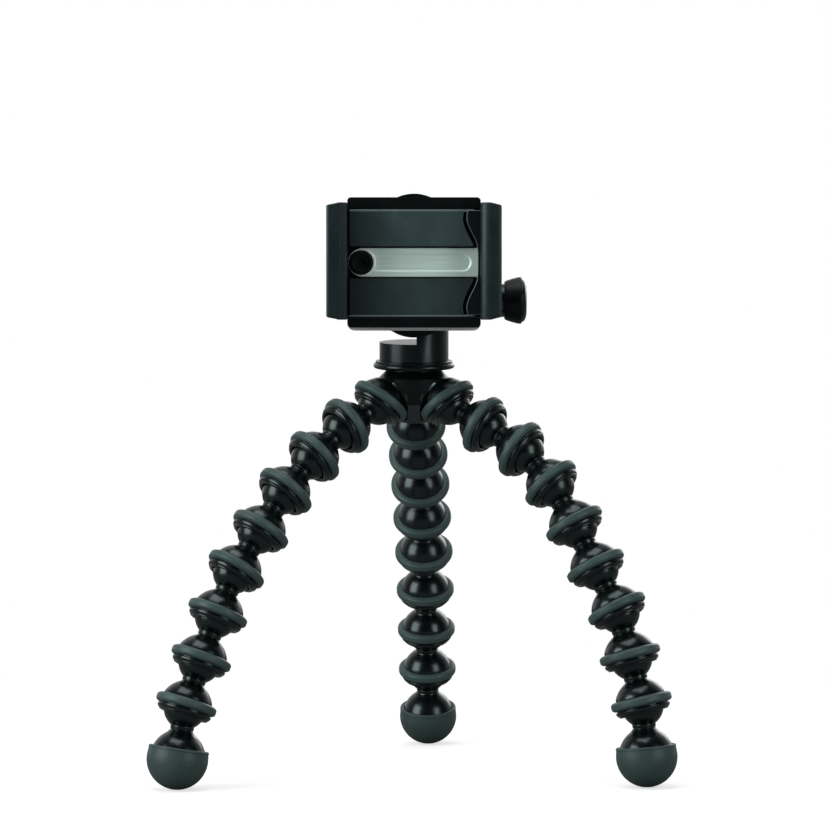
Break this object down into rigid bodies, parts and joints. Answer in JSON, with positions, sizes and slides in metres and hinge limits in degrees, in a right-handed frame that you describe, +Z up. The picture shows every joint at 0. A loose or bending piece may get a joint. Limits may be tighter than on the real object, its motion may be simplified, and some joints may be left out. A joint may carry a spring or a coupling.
{
  "type": "flexible leg tripod",
  "caption": "Tripod on three bendable legs of ball jointed links with rubber grips, and a sprung phone clamp on a tilting, turning head.",
  "frame": {"origin": "on the floor under the middle of the hub, with the three feet on the floor", "axes": "+Z up, the clamp faces -Y, the moving jaw and the knob are on +X, one leg goes back towards +Y"},
  "size_m": [0.2062, 0.1906, 0.2314],
  "materials": {
    "leg_shell": "glossy moulded black",
    "grip_rubber": "matte grey green",
    "hub_shell": "semi gloss black",
    "head_shell": "satin dark blue grey",
    "frame_black": "satin black",
    "face_rubber": "matte dark blue grey",
    "jaw_shell": "satin dark grey",
    "bar_steel": "satin",
    "plate_steel": "satin",
    "rim_steel": "polished",
    "fastener_steel": "machined",
    "spring_steel": "drawn wire",
    "insert_brass": "machined",
    "washer_plastic": "plain"
  },
  "bodies": {
    "hub": {"hub_body": "hub_shell", "hub_grip_rings": "grip_rubber", "tripod_screw": "fastener_steel"},
    "locking_ring": {"locking_ring": "head_shell"},
    "head_arm": {"tilt_arm": "head_shell", "screw_insert": "insert_brass", "tilt_washers": "washer_plastic"},
    "knob": {"tilt_knob": "frame_black", "knob_cap": "head_shell", "tilt_bolt": "fastener_steel"},
    "housing": {"back_housing": "head_shell", "tilt_nut": "fastener_steel", "swivel_pin": "fastener_steel", "swivel_washer": "washer_plastic"},
    "clamp": {"clamp_plate": "plate_steel", "plate_screws": "fastener_steel", "clamp_body": "frame_black", "upper_pad": "face_rubber", "lower_pad": "face_rubber", "fixed_jaw": "jaw_shell", "fixed_jaw_pad": "face_rubber", "jaw_springs": "spring_steel"},
    "slider": {"moving_carriage": "jaw_shell", "moving_jaw": "jaw_shell", "moving_jaw_pad": "face_rubber", "slide_bar": "bar_steel", "cap_rim": "rim_steel", "slide_cap": "frame_black", "guide_rods": "fastener_steel"},
    "left_leg_link_1": {"left_leg_link_1": "leg_shell"},
    "left_leg_link_2": {"left_leg_link_2": "leg_shell"},
    "left_leg_link_3": {"left_leg_link_3": "leg_shell"},
    "left_leg_link_4": {"left_leg_link_4": "leg_shell"},
    "left_leg_link_5": {"left_leg_link_5": "leg_shell"},
    "left_leg_link_6": {"left_leg_link_6": "leg_shell"},
    "left_leg_link_7": {"left_leg_link_7": "leg_shell"},
    "left_leg_link_8": {"left_leg_link_8": "leg_shell"},
    "left_foot": {"left_foot_link": "leg_shell", "left_foot_pad": "grip_rubber"},
    "right_leg_link_1": {"right_leg_link_1": "leg_shell"},
    "right_leg_link_2": {"right_leg_link_2": "leg_shell"},
    "right_leg_link_3": {"right_leg_link_3": "leg_shell"},
    "right_leg_link_4": {"right_leg_link_4": "leg_shell"},
    "right_leg_link_5": {"right_leg_link_5": "leg_shell"},
    "right_leg_link_6": {"right_leg_link_6": "leg_shell"},
    "right_leg_link_7": {"right_leg_link_7": "leg_shell"},
    "right_leg_link_8": {"right_leg_link_8": "leg_shell"},
    "right_foot": {"right_foot_link": "leg_shell", "right_foot_pad": "grip_rubber"},
    "rear_leg_link_1": {"rear_leg_link_1": "leg_shell"},
    "rear_leg_link_2": {"rear_leg_link_2": "leg_shell"},
    "rear_leg_link_3": {"rear_leg_link_3": "leg_shell"},
    "rear_leg_link_4": {"rear_leg_link_4": "leg_shell"},
    "rear_leg_link_5": {"rear_leg_link_5": "leg_shell"},
    "rear_leg_link_6": {"rear_leg_link_6": "leg_shell"},
    "rear_leg_link_7": {"rear_leg_link_7": "leg_shell"},
    "rear_leg_link_8": {"rear_leg_link_8": "leg_shell"},
    "rear_foot": {"rear_foot_link": "leg_shell", "rear_foot_pad": "grip_rubber"}
  },
  "joints": [
    {"name": "head_pan", "type": "hinge", "parent": "hub", "child": "head_arm", "pos_m": [0, 0, 0.14853], "axis": [0, -0.0698, 0.9976], "range_deg": [-180, 180]},
    {"name": "ring_turn", "type": "hinge", "parent": "hub", "child": "locking_ring", "pos_m": [0, 0, 0.14853], "axis": [0, -0.0698, 0.9976], "range_deg": [0, 360]},
    {"name": "head_tilt", "type": "hinge", "parent": "head_arm", "child": "housing", "pos_m": [0, -0.00285, 0.18923], "axis": [1, 0, 0], "range_deg": [-90, 5]},
    {"name": "knob_turn", "type": "hinge", "parent": "head_arm", "child": "knob", "pos_m": [0, -0.00285, 0.18923], "axis": [1, 0, 0], "range_deg": [0, 360]},
    {"name": "clamp_swivel", "type": "hinge", "parent": "housing", "child": "clamp", "pos_m": [0, -0.02285, 0.20423], "axis": [0, -1, 0], "range_deg": [0, 90]},
    {"name": "jaw_slide", "type": "slide", "parent": "clamp", "child": "slider", "axis": [1, 0, 0], "range_m": [0, 0.035], "stiffness_N_per_m": 150, "springref_m": -0.03, "deforming": ["jaw_springs"]},
    {"name": "left_leg_ball_1", "type": "hinge", "parent": "hub", "child": "left_leg_link_1", "pos_m": [-0.01403, -0.00808, 0.14796], "axis": [0.5358, -0.8443, 0], "range_deg": [-7, 52.5]},
    {"name": "left_leg_ball_2", "type": "hinge", "parent": "left_leg_link_1", "child": "left_leg_link_2", "pos_m": [-0.02791, -0.01689, 0.13885], "axis": [-0.5314, -0.3372, 0.7771], "range_deg": [-28, 28]},
    {"name": "left_leg_ball_3", "type": "hinge", "parent": "left_leg_link_2", "child": "left_leg_link_3", "pos_m": [-0.04025, -0.02472, 0.12701], "axis": [-0.5358, 0.8443, 0], "range_deg": [-23.5, 36.5]},
    {"name": "left_leg_ball_4", "type": "hinge", "parent": "left_leg_link_3", "child": "left_leg_link_4", "pos_m": [-0.05137, -0.03178, 0.11361], "axis": [0.6787, 0.4307, -0.5948], "range_deg": [-29, 29]},
    {"name": "left_leg_ball_5", "type": "hinge", "parent": "left_leg_link_4", "child": "left_leg_link_5", "pos_m": [-0.06082, -0.03777, 0.09849], "axis": [0.5358, -0.8443, 0], "range_deg": [-30.5, 29]},
    {"name": "left_leg_ball_6", "type": "hinge", "parent": "left_leg_link_5", "child": "left_leg_link_6", "pos_m": [-0.07015, -0.04369, 0.08328], "axis": [-0.7621, -0.4836, 0.4305], "range_deg": [-28, 28]},
    {"name": "left_leg_ball_7", "type": "hinge", "parent": "left_leg_link_6", "child": "left_leg_link_7", "pos_m": [-0.07698, -0.04803, 0.06632], "axis": [-0.5358, 0.8443, 0], "range_deg": [-27.5, 32.5]},
    {"name": "left_leg_ball_8", "type": "hinge", "parent": "left_leg_link_7", "child": "left_leg_link_8", "pos_m": [-0.08318, -0.05197, 0.04901], "axis": [0.7909, 0.5019, -0.3502], "range_deg": [-29.5, 29.5]},
    {"name": "left_leg_ball_9", "type": "hinge", "parent": "left_leg_link_8", "child": "left_foot", "pos_m": [-0.08874, -0.05549, 0.0314], "axis": [0.5358, -0.8443, 0], "range_deg": [-40.5, 19.5]},
    {"name": "right_leg_ball_1", "type": "hinge", "parent": "hub", "child": "right_leg_link_1", "pos_m": [0.01403, -0.00808, 0.14796], "axis": [0.471, 0.8821, 0], "range_deg": [-5, 54.5]},
    {"name": "right_leg_ball_2", "type": "hinge", "parent": "right_leg_link_1", "child": "right_leg_link_2", "pos_m": [0.02876, -0.01595, 0.13932], "axis": [0.4458, -0.2381, 0.8629], "range_deg": [-29.5, 29.5]},
    {"name": "right_leg_ball_3", "type": "hinge", "parent": "right_leg_link_2", "child": "right_leg_link_3", "pos_m": [0.04307, -0.02359, 0.12982], "axis": [-0.471, -0.8821, 0], "range_deg": [-15, 45]},
    {"name": "right_leg_ball_4", "type": "hinge", "parent": "right_leg_link_3", "child": "right_leg_link_4", "pos_m": [0.05472, -0.02981, 0.11644], "axis": [-0.7469, 0.3988, -0.532], "range_deg": [-27, 27]},
    {"name": "right_leg_ball_5", "type": "hinge", "parent": "right_leg_link_4", "child": "right_leg_link_5", "pos_m": [0.06355, -0.03452, 0.10053], "axis": [0.471, 0.8821, 0], "range_deg": [-32.5, 27]},
    {"name": "right_leg_ball_6", "type": "hinge", "parent": "right_leg_link_5", "child": "right_leg_link_6", "pos_m": [0.07175, -0.0389, 0.08418], "axis": [0.7705, -0.4114, 0.487], "range_deg": [-29.5, 29.5]},
    {"name": "right_leg_ball_7", "type": "hinge", "parent": "right_leg_link_6", "child": "right_leg_link_7", "pos_m": [0.07982, -0.04321, 0.06776], "axis": [-0.471, -0.8821, 0], "range_deg": [-17.5, 42.5]},
    {"name": "right_leg_ball_8", "type": "hinge", "parent": "right_leg_link_7", "child": "right_leg_link_8", "pos_m": [0.08457, -0.04575, 0.04975], "axis": [-0.8515, 0.4547, -0.2612], "range_deg": [-29.5, 29.5]},
    {"name": "right_leg_ball_9", "type": "hinge", "parent": "right_leg_link_8", "child": "right_foot", "pos_m": [0.0889, -0.04806, 0.03161], "axis": [0.471, 0.8821, 0], "range_deg": [-39.5, 20]},
    {"name": "rear_leg_ball_1", "type": "hinge", "parent": "hub", "child": "rear_leg_link_1", "pos_m": [0, 0.01616, 0.14966], "axis": [-0.9979, 0.0645, 0], "range_deg": [-25.5, 34]},
    {"name": "rear_leg_ball_2", "type": "hinge", "parent": "rear_leg_link_1", "child": "rear_leg_link_2", "pos_m": [0.00091, 0.03018, 0.13716], "axis": [0.0425, 0.6569, 0.7528], "range_deg": [-29.5, 29.5]},
    {"name": "rear_leg_ball_3", "type": "hinge", "parent": "rear_leg_link_2", "child": "rear_leg_link_3", "pos_m": [0.00182, 0.0443, 0.12478], "axis": [0.9979, -0.0645, 0], "range_deg": [-28, 32]},
    {"name": "rear_leg_ball_4", "type": "hinge", "parent": "rear_leg_link_3", "child": "rear_leg_link_4", "pos_m": [0.0027, 0.05798, 0.11192], "axis": [-0.0492, -0.7607, -0.6472], "range_deg": [-29, 29]},
    {"name": "rear_leg_ball_5", "type": "hinge", "parent": "rear_leg_link_4", "child": "rear_leg_link_5", "pos_m": [0.00349, 0.07012, 0.09759], "axis": [-0.9979, 0.0645, 0], "range_deg": [-34, 26]},
    {"name": "rear_leg_ball_6", "type": "hinge", "parent": "rear_leg_link_5", "child": "rear_leg_link_6", "pos_m": [0.00421, 0.08124, 0.08244], "axis": [0.0568, 0.8784, 0.4746], "range_deg": [-29, 29]},
    {"name": "rear_leg_ball_7", "type": "hinge", "parent": "rear_leg_link_6", "child": "rear_leg_link_7", "pos_m": [0.00478, 0.09014, 0.0659], "axis": [0.9979, -0.0645, 0], "range_deg": [-24, 35.5]},
    {"name": "rear_leg_ball_8", "type": "hinge", "parent": "rear_leg_link_7", "child": "rear_leg_link_8", "pos_m": [0.00526, 0.09742, 0.04857], "axis": [-0.0603, -0.9327, -0.3556], "range_deg": [-29.5, 29.5]},
    {"name": "rear_leg_ball_9", "type": "hinge", "parent": "rear_leg_link_8", "child": "rear_foot", "pos_m": [0.00569, 0.10409, 0.031], "axis": [-0.9979, 0.0645, 0], "range_deg": [-35.5, 24.5]}
  ]
}
